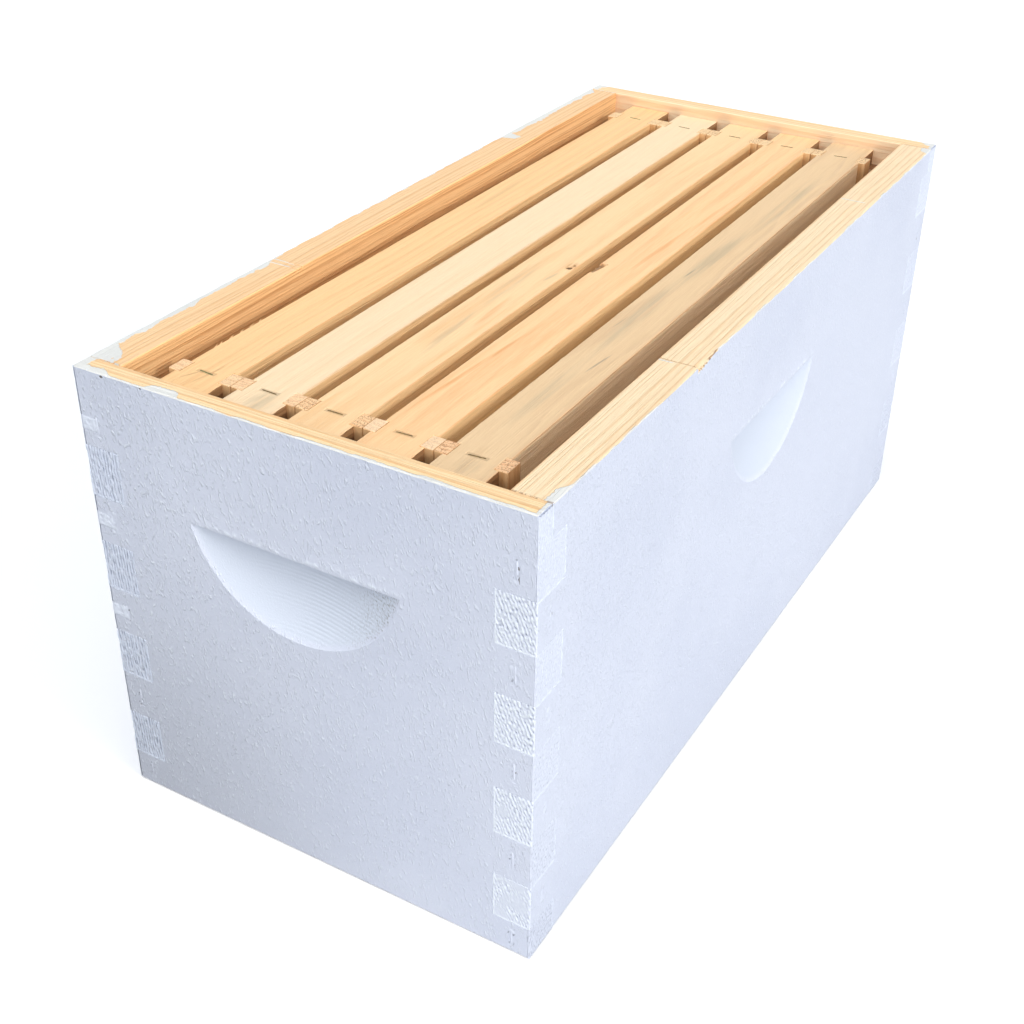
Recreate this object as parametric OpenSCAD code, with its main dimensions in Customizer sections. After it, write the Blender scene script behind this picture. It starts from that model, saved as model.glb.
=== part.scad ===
// Nucleus hive box: a small open-bottomed wooden hive body with finger-jointed corners,
// four routed handholds and rabbeted end boards, in which a set of frames hangs by its lugs.
// Millimetres, +Z up, +Y along the length, +X across the frames. The origin is the middle of
// the box's bottom. The box takes its inside sizes from the frames and the bee space round them.

/* [Frames] */
// How many frames hang in the box
frame_count = 5; // [2:1:8]
// Height of a frame, from the top of its top bar to the underside of its bottom bar
frame_h = 232; // [200:1:290]
// Length of a frame over the outer faces of its end bars
frame_l = 445; // [380:1:480]
// Distance from the middle of one frame to the middle of the next
frame_pitch = 35.8; // [34:0.1:42]
// Gap between the end bars of neighbouring frames
frame_gap = 0.4; // [0.3:0.1:2]

/* [Top bars] */
// Width of a top bar
top_bar_w = 27; // [25:0.5:30]
// Thickness of a top bar
top_bar_t = 19; // [16:0.5:22]
// Thickness of the lugs and necks at a top bar's ends
lug_t = 9.5; // [8:0.5:12]
// Width of the neck that an end bar's fork clasps
neck_w = 22.4; // [18:0.2:24]
// Gap between the end of a lug and the lip of the rabbet
lug_gap = 1.2; // [0.5:0.1:2]
// Depth of the groove under a top bar
top_groove_d = 6; // [4:0.5:8]

/* [End bars] */
// Thickness of an end bar
end_bar_t = 10.5; // [8:0.5:14]
// Width of an end bar below its shoulders
end_bar_low_w = 28.6; // [25:0.2:31]
// Distance from the top of an end bar down to its shoulders
shoulder_drop = 85; // [50:1:110]
// Height over which an end bar tapers below its shoulders
shoulder_taper = 12; // [4:1:30]
// Diameter of the wire holes through an end bar
wire_hole_d = 3; // [2:0.5:5]
// How many wire holes an end bar has
wire_hole_count = 4; // [2:1:6]
// Distance from an end bar's ends to the first and last wire hole
wire_hole_margin = 40; // [30:1:60]

/* [Bottom bars] */
// Width of a bottom bar
bottom_bar_w = 19; // [14:0.5:24]
// Thickness of a bottom bar
bottom_bar_t = 9.5; // [8:0.5:12]
// Depth of the groove in the top of a bottom bar
bottom_groove_d = 5; // [3:0.5:6]

/* [Foundation sheets] */
// Thickness of a foundation sheet
sheet_t = 2; // [1:0.2:4]
// Clearance between a sheet's face and the wall of its groove
sheet_side_clear = 0.5; // [0.2:0.1:1]
// Clearance between a sheet's edge and an end bar
sheet_end_clear = 1; // [0.5:0.1:3]
// Clearance between a sheet's top edge and the roof of the top bar's groove
sheet_top_clear = 1.5; // [0.5:0.1:3]

/* [Bee space] */
// Height of the rim above the frames
top_space = 6.5; // [4:0.5:12]
// Height of the frames above the bottom of the box
bottom_space = 6.5; // [4:0.5:12]
// Gap between an end bar and the end board
end_space = 8; // [5:0.5:12]
// Gap between the first frame and the left side board
left_space = 9; // [4:0.5:20]
// Gap between the last frame and the right side board
right_space = 12; // [4:0.5:20]

/* [Boards] */
// Thickness of an end board
end_t = 22; // [20:0.5:26]
// Thickness of a side board
side_t = 19.5; // [17:0.5:24]
// Thickness of the lip that the rabbet leaves on an end board
lip_t = 10.8; // [8:0.2:13]

/* [Finger joints] */
// Height of a finger
finger_h = 26.4; // [18:0.2:34]
// Height of the end board's lowest tab
bottom_tab_h = 19.5; // [14:0.5:30]
// Least height of the end board's top tab below the rabbet
top_tab_min = 12; // [8:0.5:20]
// Glue gap at each flank of a finger
glue_gap = 0.1; // [0:0.05:0.3]

/* [Handholds] */
// Distance from the rim down to the straight top edge of a handhold
hand_drop = 63.5; // [50:0.5:90]
// Radius of a handhold's round outline
hand_r = 58.5; // [45:0.5:65]
// Height of the outline's centre above the top edge
hand_rise = 13; // [5:0.5:20]
// Depth that the cutter would reach at the outline's centre
hand_depth = 13; // [8:0.5:14]
// Sideways place of the handholds on the end boards
hand_shift = -3; // [-10:0.5:10]

/* [Staples] */
// Length of a corner staple's crown
corner_crown = 10.5; // [8:0.5:14]
// Length of a corner staple's legs
corner_leg = 38; // [32:1:45]
// Length of a frame staple's crown
frame_crown = 9.7; // [6:0.1:12]
// Length of a frame staple's legs
frame_leg = 25; // [18:1:32]
// Thickness of the staple wire
wire_t = 1.2; // [0.8:0.1:1.6]
// How far a crown stands out of the wood
crown_proud = 0.25; // [0.1:0.05:0.5]

/* [Hidden] */
// Clearance of the frames' own wood joints
joint_fit = 0.15;
// How far a cut runs past the face it opens
overrun = 1;
// Facets of the round cutters, fine enough to be taken as true rounds
$fn = 96;

inner_w = left_space + frame_count * frame_pitch + right_space;
inner_l = frame_l + 2 * end_space;
box_w = inner_w + 2 * side_t;
box_l = inner_l + 2 * end_t;
box_h = bottom_space + frame_h + top_space;

rabbet_d = top_space + lug_t;
rabbet_z = box_h - rabbet_d;
finger_room = rabbet_z - top_tab_min - bottom_tab_h;
finger_count = floor((finger_room + finger_h) / (2 * finger_h));

top_bar_l = box_l - 2 * (lip_t + lug_gap);
main_bar_l = frame_l - 2 * (end_bar_t + joint_fit);
lug_l = (top_bar_l - frame_l) / 2 - joint_fit;
end_bar_w = frame_pitch - frame_gap;
end_bar_y = (frame_l - end_bar_t) / 2;
fork_w = neck_w + 2 * joint_fit;
foot_notch_w = bottom_bar_w + 2 * joint_fit;

groove_w = sheet_t + 2 * sheet_side_clear;
sheet_l = frame_l - 2 * (end_bar_t + sheet_end_clear);
sheet_z = bottom_bar_t - bottom_groove_d;
sheet_top = frame_h - top_bar_t + top_groove_d - sheet_top_clear;
wire_hole_step = (frame_h - 2 * wire_hole_margin) / (wire_hole_count - 1);

// A ball cutter whose cut in a flat face has the outline's radius and the stated depth
hand_ball_r = (hand_r * hand_r + hand_depth * hand_depth) / (2 * hand_depth);
hand_ball_out = hand_ball_r - hand_depth;

wood_colour = "burlywood";
paint_colour = "ghostwhite";
steel_colour = "silver";
wax_colour = "gold";

BOX_PIECES = ["left_side_board", "right_side_board", "front_end_board", "back_end_board",
              "end_board_staples", "side_board_staples"];
FRAME_PIECES = ["top_bar", "front_end_bar", "rear_end_bar", "bottom_bar", "foundation", "staples"];
function frame_node(i, piece) = str("frame_", i, "_", piece);

// Places of the finger joint, counted up from the bottom of the box
function finger_low(k) = bottom_tab_h + 2 * k * finger_h;
function finger_mid(k) = finger_low(k) + finger_h / 2;
function tab_low(k) = k == 0 ? 0 : finger_low(k - 1) + finger_h;
function tab_high(k) = k < finger_count ? finger_low(k) : rabbet_z;
function tab_mid(k) = (tab_low(k) + tab_high(k)) / 2;
function notch_low(k) = k == 0 ? -overrun : tab_low(k);

// Middle of a frame across the box, frames counted from the left
function frame_x(i) = (i - 1 / 2) * frame_pitch + left_space - inner_w / 2;

// The points of an edge mirrored in the Y axis, last one first, to close a symmetric outline
function mirrored_back(edge) = [for (k = [len(edge) - 1:-1:0]) [-edge[k][0], edge[k][1]]];

// A block with its middle at the origin in X and Y and its underside at height z
module block(w, l, h, z = 0) {
    translate([-w / 2, -l / 2, z])
        cube([w, l, h]);
}

// The cut of the ball cutter in a face that looks along +X, below a straight top edge at the origin
module handhold_cut() {
    intersection() {
        translate([hand_ball_out, 0, hand_rise])
            sphere(r = hand_ball_r);
        block(2 * hand_ball_r, 2 * hand_ball_r, 2 * hand_ball_r, -2 * hand_ball_r);
    }
}

// A staple with its crown along X, just above the XY plane, and its legs down
module staple(crown, leg) {
    block(crown, wire_t, wire_t, -wire_t);
    for (side = [-1, 1])
        translate([side * (crown - wire_t) / 2, 0, 0])
            block(wire_t, wire_t, leg, -leg);
}

// A corner staple driven into a face that looks along +X turned by the angle, crown upright
module corner_staple(angle) {
    rotate([0, 90, angle])
        staple(corner_crown, corner_leg);
}

// An end board at the front (-1) or the back (1)
module end_board(end) {
    face_y = end * box_l / 2;
    difference() {
        translate([0, face_y - end * end_t / 2, 0])
            block(box_w, end_t, box_h);
        translate([0, face_y - end * (lip_t + end_t / 2), 0])
            block(box_w + 2 * overrun, end_t, rabbet_d + overrun, rabbet_z);
        for (side = [-1, 1], k = [0:finger_count - 1])
            translate([side * (box_w + overrun - side_t) / 2, face_y, finger_low(k) - glue_gap])
                block(side_t + overrun, 2 * (end_t + overrun), finger_h + 2 * glue_gap);
        translate([hand_shift, face_y, box_h - hand_drop])
            rotate([0, 0, end * 90])
                handhold_cut();
    }
}

// A side board on the left (-1) or the right (1), notched for the end boards' tabs and lips
module side_board(side) {
    face_x = side * box_w / 2;
    difference() {
        translate([face_x - side * side_t / 2, 0, 0])
            block(side_t, box_l, box_h);
        for (end = [-1, 1]) {
            for (k = [0:finger_count])
                translate([face_x, end * (box_l + overrun - end_t) / 2, 0])
                    block(2 * (side_t + overrun), end_t + overrun, tab_high(k) - notch_low(k), notch_low(k));
            translate([face_x, end * (box_l + overrun - lip_t) / 2, 0])
                block(2 * (side_t + overrun), lip_t + overrun, rabbet_d + overrun, rabbet_z);
        }
        translate([face_x, 0, box_h - hand_drop])
            rotate([0, 0, (1 - side) * 90])
                handhold_cut();
    }
}

module left_side_board() {
    color(paint_colour)
        side_board(-1);
}

module right_side_board() {
    color(paint_colour)
        side_board(1);
}

module front_end_board() {
    color(paint_colour)
        end_board(-1);
}

module back_end_board() {
    color(paint_colour)
        end_board(1);
}

// Staples through the end boards' tabs into the ends of the side boards
module end_board_staples() {
    color(steel_colour)
        for (side = [-1, 1], end = [-1, 1], k = [0:finger_count])
            translate([side * (box_w - side_t) / 2, end * (box_l / 2 + crown_proud), tab_mid(k)])
                corner_staple(end * 90);
}

// Staples through the side boards' fingers into the ends of the end boards
module side_board_staples() {
    color(steel_colour)
        for (side = [-1, 1], end = [-1, 1], k = [0:finger_count - 1])
            translate([side * (box_w / 2 + crown_proud), end * (box_l - end_t) / 2, finger_mid(k)])
                corner_staple((1 - side) * 90);
}

// A frame piece drawn round its own bottom middle, hung at its place in the box
module hang(i) {
    translate([frame_x(i), 0, bottom_space])
        children();
}

// A top bar: a full bar between the end bars, a neck through each fork and a lug beyond it
module top_bar(i) {
    color(wood_colour)
        hang(i)
            difference() {
                union() {
                    block(top_bar_w, main_bar_l, top_bar_t, frame_h - top_bar_t);
                    block(neck_w, top_bar_l, lug_t, frame_h - lug_t);
                    for (end = [-1, 1])
                        translate([0, end * (top_bar_l - lug_l) / 2, 0])
                            block(top_bar_w, lug_l, lug_t, frame_h - lug_t);
                }
                block(groove_w, top_bar_l, top_groove_d + overrun, frame_h - top_bar_t - overrun);
            }
}

// Right edge of an end bar's outline, from its foot to its top
end_bar_edge = [
    [end_bar_low_w / 2, 0],
    [end_bar_low_w / 2, frame_h - shoulder_drop - shoulder_taper],
    [end_bar_w / 2, frame_h - shoulder_drop],
    [end_bar_w / 2, frame_h],
];

// An end bar at the front (-1) or the rear (1), forked over the top bar and notched for the bottom bar
module end_bar(i, end) {
    color(wood_colour)
        hang(i)
            translate([0, end * end_bar_y, 0])
                difference() {
                    rotate([90, 0, 0])
                        linear_extrude(height = end_bar_t, center = true)
                            polygon(concat(end_bar_edge, mirrored_back(end_bar_edge)));
                    block(fork_w, end_bar_t + overrun, lug_t + overrun, frame_h - lug_t);
                    block(foot_notch_w, end_bar_t + overrun, bottom_bar_t + overrun, -overrun);
                    for (k = [0:wire_hole_count - 1])
                        translate([0, 0, wire_hole_margin + k * wire_hole_step])
                            rotate([90, 0, 0])
                                cylinder(d = wire_hole_d, h = end_bar_t + overrun, center = true);
                }
}

// A bottom bar, grooved along its top
module bottom_bar(i) {
    color(wood_colour)
        hang(i)
            difference() {
                block(bottom_bar_w, frame_l, bottom_bar_t);
                block(groove_w, frame_l + overrun, bottom_groove_d + overrun, sheet_z);
            }
}

// A foundation sheet that stands in the bottom bar's groove and reaches up into the top bar's
module foundation(i) {
    color(wax_colour)
        hang(i)
            block(sheet_t, sheet_l, sheet_top - sheet_z, sheet_z);
}

// Staples down through the necks and up through the bottom bar, all into the end bars
module frame_staples(i) {
    color(steel_colour)
        hang(i)
            for (end = [-1, 1])
                translate([0, end * end_bar_y, 0]) {
                    translate([0, 0, frame_h + crown_proud])
                        staple(frame_crown, frame_leg);
                    translate([0, 0, -crown_proud])
                        mirror([0, 0, 1])
                            staple(frame_crown, frame_leg);
                }
}

left_side_board();
right_side_board();
front_end_board();
back_end_board();
end_board_staples();
side_board_staples();
for (i = [1:frame_count]) {
    top_bar(i);
    end_bar(i, -1);
    end_bar(i, 1);
    bottom_bar(i);
    foundation(i);
    frame_staples(i);
}
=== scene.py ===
import bpy
import math
from mathutils import Matrix, Vector, noise
from mathutils.geometry import delaunay_2d_cdt


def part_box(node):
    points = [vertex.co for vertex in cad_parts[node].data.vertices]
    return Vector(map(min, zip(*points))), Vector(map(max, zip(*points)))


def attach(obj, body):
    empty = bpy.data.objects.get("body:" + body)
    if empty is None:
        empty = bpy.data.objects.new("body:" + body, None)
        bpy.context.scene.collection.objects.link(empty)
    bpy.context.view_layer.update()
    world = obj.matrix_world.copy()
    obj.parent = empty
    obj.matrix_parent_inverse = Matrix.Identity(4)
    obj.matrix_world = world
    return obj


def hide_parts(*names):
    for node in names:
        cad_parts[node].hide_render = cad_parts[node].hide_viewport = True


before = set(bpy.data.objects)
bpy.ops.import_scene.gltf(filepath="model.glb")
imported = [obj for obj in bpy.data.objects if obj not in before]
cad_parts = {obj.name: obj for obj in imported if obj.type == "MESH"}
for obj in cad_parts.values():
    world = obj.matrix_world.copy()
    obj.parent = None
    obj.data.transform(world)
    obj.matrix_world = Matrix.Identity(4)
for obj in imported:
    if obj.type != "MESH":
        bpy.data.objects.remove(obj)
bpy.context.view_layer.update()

# Side boards: two planed pine boards that stand along the box. Their ends are sawn into fingers, a ball
# cutter has routed a handhold in each outer face, and rolled white paint covers the outside and laps onto
# the bare rim. Where the paint lies on sawn end grain it has dried rough.
mm = 0.001
side_low, side_high = (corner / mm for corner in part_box("right_side_board"))
half_w, half_l, rim_z = side_high
side_t = side_high.x - side_low.x
end_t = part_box("front_end_board")[1].y / mm + half_l
lip_t, rabbet_z = 10.8, 229.0
finger_h, lowest_tab, finger_count, glue_gap = 26.4, 19.5, 4, 0.1
finger_lows = [lowest_tab + 2 * k * finger_h for k in range(finger_count)]
arris, crust_t, crust_step, crust_proud, crust_pit, year_pitch = 0.5, 0.7, 0.34, 0.18, 0.45, 1.75
joint_lap, joint_side, corner_lap, blob_step, blob_t = 0.4, 0.39, 0.45, 0.5, 0.23


def shade(red, green, blue):
    """A colour as a paint card gives it, 0 to 255, in the linear light that the shaders use."""
    return tuple(((c / 255 + 0.055) / 1.055) ** 2.4 for c in (red, green, blue)) + (1.0,)


def fill(tree, socket, value):
    """A number, a colour or another node's output goes into a socket."""
    if isinstance(value, bpy.types.NodeSocket):
        tree.links.new(value, socket)
    else:
        socket.default_value = value


def put(tree, kind, *values, **settings):
    """A node with its settings, its inputs filled in order by numbers or by other nodes' outputs."""
    node = tree.nodes.new(kind)
    for name, value in settings.items():
        setattr(node, name, value)
    for socket, value in zip(node.inputs, values):
        if value is not None:
            fill(tree, socket, value)
    return node.outputs[0]


def sum_of(tree, a, b):
    return put(tree, "ShaderNodeMath", a, b, operation="ADD")


def product(tree, a, b):
    return put(tree, "ShaderNodeMath", a, b, operation="MULTIPLY")


def less(tree, a, b):
    return put(tree, "ShaderNodeMath", a, b, operation="SUBTRACT")


def larger(tree, a, b):
    return put(tree, "ShaderNodeMath", a, b, operation="MAXIMUM")


def absolute(tree, a):
    return put(tree, "ShaderNodeMath", a, operation="ABSOLUTE")


def ramp(tree, value, low, high, to_low=0.0, to_high=1.0):
    """A soft step from one value to another while the input goes from low to high."""
    return put(tree, "ShaderNodeMapRange", value, low, high, to_low, to_high,
               interpolation_type="SMOOTHSTEP")


def mottle(tree, place, stretch, detail=2.0):
    """Noise about one unit wide in a place that is stretched along its axes first."""
    spread = put(tree, "ShaderNodeVectorMath", place, stretch, operation="MULTIPLY")
    return put(tree, "ShaderNodeTexNoise", spread, None, 1.0, detail)


def tinted(tree, share, one, other):
    """A mix of two colours."""
    mix = put(tree, "ShaderNodeMix", share, data_type="RGBA").node
    fill(tree, mix.inputs[6], one)
    fill(tree, mix.inputs[7], other)
    return mix.outputs[2]


def new_group(name, inputs, outputs, kind="ShaderNodeTree"):
    """An empty node group with its named sockets, and what its inputs give and its outputs take."""
    tree = bpy.data.node_groups.new(name, kind)
    for way, sockets in (("INPUT", inputs), ("OUTPUT", outputs)):
        for title, value in sockets.items():
            tree.interface.new_socket(title, in_out=way, socket_type="NodeSocket" + value)
    return tree, tree.nodes.new("NodeGroupInput").outputs, tree.nodes.new("NodeGroupOutput").inputs


def use_group(tree, group, **values):
    """A node group placed in a material with its own values; returns its outputs."""
    node = tree.nodes.new("ShaderNodeGroup")
    node.node_tree = group
    for title, value in values.items():
        fill(tree, node.inputs[title.replace("_", " ")], value)
    return node.outputs


def split(tree, place):
    """The three coordinates of a place."""
    return put(tree, "ShaderNodeSeparateXYZ", place).node.outputs


# Pine: yearly rings round a pith that lies along Y, narrow dark latewood, long streaks and fine fibres.
pine_grain, given, result = new_group(
    "pine_grain",
    {"Grain": "Vector", "Light": "Color", "Dark": "Color", "Ring Width": "Float", "Contrast": "Float",
     "Wobble": "Float", "Streak": "Float", "Thin": "Float"},
    {"Color": "Color", "Height": "Float", "Latewood": "Float"})
tree = pine_grain
across = put(tree, "ShaderNodeVectorMath", given["Grain"], (1.0, 0.0, 1.0), operation="MULTIPLY")
from_pith = put(tree, "ShaderNodeVectorMath", across, operation="LENGTH").node.outputs["Value"]
sway = ramp(tree, mottle(tree, given["Grain"], (0.035, 0.005, 0.035)), 0.2, 0.8, -1.0, 1.0)
radius = sum_of(tree, from_pith, product(tree, sway, given["Wobble"]))
years = put(tree, "ShaderNodeMath", radius, given["Ring Width"], operation="DIVIDE")
uneven = put(tree, "ShaderNodeTexNoise", None, years, 0.35, 1.0, noise_dimensions="1D")
years = sum_of(tree, years, product(tree, uneven, 2.2))
season = put(tree, "ShaderNodeMath", years, operation="FRACT")
latewood = less(tree, ramp(tree, season, given["Thin"], 0.88), ramp(tree, season, 0.9, 1.0))
bands = ramp(tree, mottle(tree, given["Grain"], (0.28, 0.004, 0.28), 3.0), 0.25, 0.75, -1.0, 1.0)
fibres = ramp(tree, mottle(tree, given["Grain"], (1.8, 0.05, 1.8), 3.0), 0.3, 0.72, -1.0, 1.0)
darkness = sum_of(tree, product(tree, latewood, given["Contrast"]), product(tree, bands, given["Streak"]))
darkness = sum_of(tree, darkness, product(tree, fibres, 0.12))
tree.links.new(tinted(tree, darkness, given["Light"], given["Dark"]), result["Color"])
tree.links.new(sum_of(tree, fibres, latewood), result["Height"])
tree.links.new(latewood, result["Latewood"])

# Rolled paint: a fine stipple, short raised strokes that lean a little, and faint cloudy tones. It also
# carries painted light: painted shade over the front's lower left and in the handholds, and painted
# highlights on the raised strokes.
paint_skin, given, result = new_group(
    "paint_skin", {"Place": "Vector", "Paint": "Color", "Shadow": "Color"},
    {"Color": "Color", "Height": "Float", "Roughness": "Float"})
tree = paint_skin
lean = put(tree, "ShaderNodeMapping", given["Place"], None, (0.0, math.radians(13), 0.0))
stipple = mottle(tree, given["Place"], (1.5, 1.5, 1.2), 2.0)
stroke = ramp(tree, mottle(tree, lean, (1.15, 1.15, 0.34), 1.0), 0.56, 0.72)
dab = ramp(tree, mottle(tree, lean, (0.78, 0.78, 0.32), 1.0), 0.58, 0.7)
patchy = ramp(tree, mottle(tree, given["Place"], (0.035, 0.035, 0.035), 2.0), 0.3, 0.6, 0.8, 1.0)
x, y, z = split(tree, given["Place"])
on_front = ramp(tree, y, -249, -251)
thick = product(tree, ramp(tree, x, 60, -120, 0.0, 0.65), on_front)
patchy = product(tree, patchy, sum_of(tree, thick, 1.1))
behind = [less(tree, half, absolute(tree, way)) for half, way in ((half_w, x), (half_l, y))]
routed = put(tree, "ShaderNodeMath", *behind, operation="MINIMUM")
patchy = product(tree, patchy, ramp(tree, routed, 0.3, 1.5, 1.0, 0.2))
cloud = ramp(tree, mottle(tree, given["Place"], (0.012, 0.012, 0.012), 3.0), 0.35, 0.7)
ridges = product(tree, sum_of(tree, stroke, product(tree, dab, 0.35)), patchy)
height = sum_of(tree, product(tree, stipple, 0.5), product(tree, ridges, 0.8))
clouded = tinted(tree, product(tree, cloud, 0.4), given["Paint"], given["Shadow"])
# Painted shade: the front's paint greys towards its lower left, standing in for the shade that falls there.
shaded_lower_left = product(tree, ramp(tree, x, 60, -115), ramp(tree, z, 190, 20))
shaded_lower_left = product(tree, shaded_lower_left, product(tree, on_front, 0.85))
shaded_lower_left = tinted(tree, shaded_lower_left, clouded, shade(198, 202, 213))
# Painted highlight: the raised strokes are lightened as if they caught the light.
lit_ridges = tinted(tree, product(tree, ridges, 0.4), shaded_lower_left, shade(240, 246, 255))
# Painted shade: the paint inside the handholds' hollows is made darker.
hollow_shade = product(tree, ramp(tree, routed, 0.4, 1.6), ramp(tree, z, rim_z - 4, rim_z - 8))
tree.links.new(tinted(tree, hollow_shade, lit_ridges, shade(217, 224, 236)), result["Color"])
tree.links.new(height, result["Height"])
tree.links.new(ramp(tree, stipple, 0.3, 0.7, 0.62, 0.5), result["Roughness"])

# Paint that laps over the outer edge onto the rim, ragged, with broad patches at some corners.
rim_lap, given, result = new_group("rim_lap", {"Place": "Vector"}, {"Mask": "Float", "Dirt": "Float"})
x, y = split(rim_lap, given["Place"])[:2]
from_side = less(rim_lap, half_w, absolute(rim_lap, x))
from_end = less(rim_lap, half_l, absolute(rim_lap, y))
ragged = ramp(rim_lap, mottle(rim_lap, given["Place"], (0.3, 0.3, 0.3), 3.0), 0.25, 0.75, 0.8, 1.2)
notched = ramp(rim_lap, mottle(rim_lap, given["Place"], (0.07, 0.07, 0.07), 1.5), 0.4, 0.65)


def lap_width(along, base, bands):
    """How far the paint reaches in, along a rim: a thin line, and bands from one place to another."""
    reach = base
    for start, stop, soft, more in bands:
        band = product(rim_lap, ramp(rim_lap, along, start - soft, start + soft),
                       ramp(rim_lap, along, stop - soft, stop + soft, 1.0, 0.0))
        reach = sum_of(rim_lap, reach, product(rim_lap, band, more))
    return product(rim_lap, reach, ragged)


left_lap = lap_width(y, product(rim_lap, notched, 1.6),
                     ((-300, -229, 4, 12.5), (-226, -116, 6, 2.6), (120, 128, 1.5, 9), (130, 238, 4, 4.0)))
right_lap = lap_width(y, product(rim_lap, notched, 0.6),
                      ((-300, -229, 5, 4.4), (-109, -87, 1, -2), (234, 300, 3, 6.0)))
front_lap = lap_width(x, sum_of(rim_lap, product(rim_lap, notched, 0.7), 0.4),
                      ((-130, -101, 4, 3.8), (-76.5, -60.5, 2, 4.4), (30, 130, 60, 1.0)))
back_lap = lap_width(x, 0.8, ((-130, -112, 3, 4.0), (112, 130, 3, 4.0)))


def either(one, other, share):
    """The first value where the share is nothing, the other where it is one."""
    return put(rim_lap, "ShaderNodeMix", share, None, one, other)


on_right = put(rim_lap, "ShaderNodeMath", x, 0.0, operation="GREATER_THAN")
on_back = put(rim_lap, "ShaderNodeMath", y, 0.0, operation="GREATER_THAN")
on_side = put(rim_lap, "ShaderNodeMath", from_end, lip_t + 0.2, operation="GREATER_THAN")
lip_lap = product(rim_lap, either(5.5, 2.4, on_right), ragged)
side_lap = either(lip_lap, either(left_lap, right_lap, on_right), on_side)
side_mask = ramp(rim_lap, less(rim_lap, side_lap, from_side), -0.15, 0.25)
end_mask = ramp(rim_lap, less(rim_lap, either(front_lap, back_lap, on_back), from_end), -0.15, 0.25)
in_joint = ramp(rim_lap, absolute(rim_lap, sum_of(rim_lap, from_end, -lip_t)), 0.5, 0.8, 1.0, 0.0)
in_joint = product(rim_lap, in_joint, ramp(rim_lap, from_side, side_t - 1, side_t, 1.0, 0.0))
in_places = ramp(rim_lap, mottle(rim_lap, given["Place"], (0.7, 0.7, 0.7)), 0.45, 0.52)
in_joint = product(rim_lap, in_joint, in_places)
filled = either(in_joint, 0.0, on_right)
lapped = larger(rim_lap, side_mask, end_mask)
rim_lap.links.new(larger(rim_lap, lapped, filled), result["Mask"])
rim_lap.links.new(product(rim_lap, in_joint, product(rim_lap, on_right, 0.45)), result["Dirt"])

# A white whose blue cast is partly painted light: it stands in for the cool skylight on the sides.
paint_white, paint_grey = shade(224, 229, 242), shade(210, 216, 232)


def new_finish(name, roughness=0.6):
    """A material with its node tree, its shader and the place on the piece in millimetres."""
    material = bpy.data.materials.new(name)
    material.use_nodes = True
    tree = material.node_tree
    shader = tree.nodes["Principled BSDF"]
    shader.inputs["Roughness"].default_value = roughness
    spot = put(tree, "ShaderNodeTexCoord").node.outputs["Object"]
    place = put(tree, "ShaderNodeVectorMath", spot, (1 / mm,) * 3, operation="MULTIPLY")
    return material, tree, shader, place


def coat(tree, shader, color, height, depth, roughness=None):
    """Gives a finish its colour, its relief too fine for the mesh, depth in millimetres, and its gloss."""
    tree.links.new(color, shader.inputs["Base Color"])
    tree.links.new(put(tree, "ShaderNodeBump", 1.0, depth * mm, None, height), shader.inputs["Normal"])
    if roughness is not None:
        tree.links.new(roughness, shader.inputs["Roughness"])


def mesh_tone(tree):
    """The tone that a mesh carries at its points."""
    return put(tree, "ShaderNodeAttribute", attribute_name="tone").node.outputs["Fac"]


def painted(name, depth, ridge=shade(240, 246, 255), pit=shade(126, 121, 118)):
    """White paint. The mesh's own tone paints shade into its pits, at -1, and a highlight onto its ridges,
    at 1.
    """
    material, tree, shader, place = new_finish(name)
    skin = use_group(tree, paint_skin, Place=place, Paint=paint_white, Shadow=paint_grey)
    tone = mesh_tone(tree)
    raised = tinted(tree, ramp(tree, tone, 0.0, 1.0), skin["Color"], ridge)
    color = tinted(tree, ramp(tree, tone, 0.0, -1.0), raised, pit)
    coat(tree, shader, color, skin["Height"], depth, skin["Roughness"])
    return material


# How the grain lies: the turn that brings a piece's own grain onto the Y axis of the pine pattern.
along_x, along_y, along_z = (0.0, 0.0, math.pi / 2), (0.0, 0.0, 0.0), (math.pi / 2, 0.0, 0.0)


def pine_color(tree, place, grain, pith, light, dark, ring=2.2, contrast=0.4, wobble=2.5, streak=0.16,
               tilt=0.0, thin=0.25):
    """Bare pine: the pith's place in the pattern, and its tilt, make straight lines or pointed arches."""
    turned = put(tree, "ShaderNodeMapping", place, None, grain)
    leaned = put(tree, "ShaderNodeMapping", turned, pith, (math.radians(tilt), 0.0, 0.0))
    return use_group(tree, pine_grain, Grain=leaned, Light=light, Dark=dark, Ring_Width=ring,
                     Contrast=contrast, Wobble=wobble, Streak=streak, Thin=thin)


def pine_gloss(tree, wood):
    """The hard latewood shines a little more than the wood between."""
    return ramp(tree, wood["Latewood"], 0.0, 1.0, 0.66, 0.5)


def bare_pine(name, grain, pith, light, dark, depth=0.08, grimy=(0.0, 1.0, 1.0), **figure):
    """Planed pine, darkened from one height down to another by painted shade."""
    material, tree, shader, place = new_finish(name, 0.55)
    wood = pine_color(tree, place, grain, pith, light, dark, **figure)
    low, high, share = grimy
    painted_shade = ramp(tree, split(tree, place)[2], low, high, 1 - share, 0.0)
    color = tinted(tree, painted_shade, wood["Color"], shade(96, 62, 34))
    coat(tree, shader, color, wood["Height"], depth, pine_gloss(tree, wood))
    return material


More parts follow.
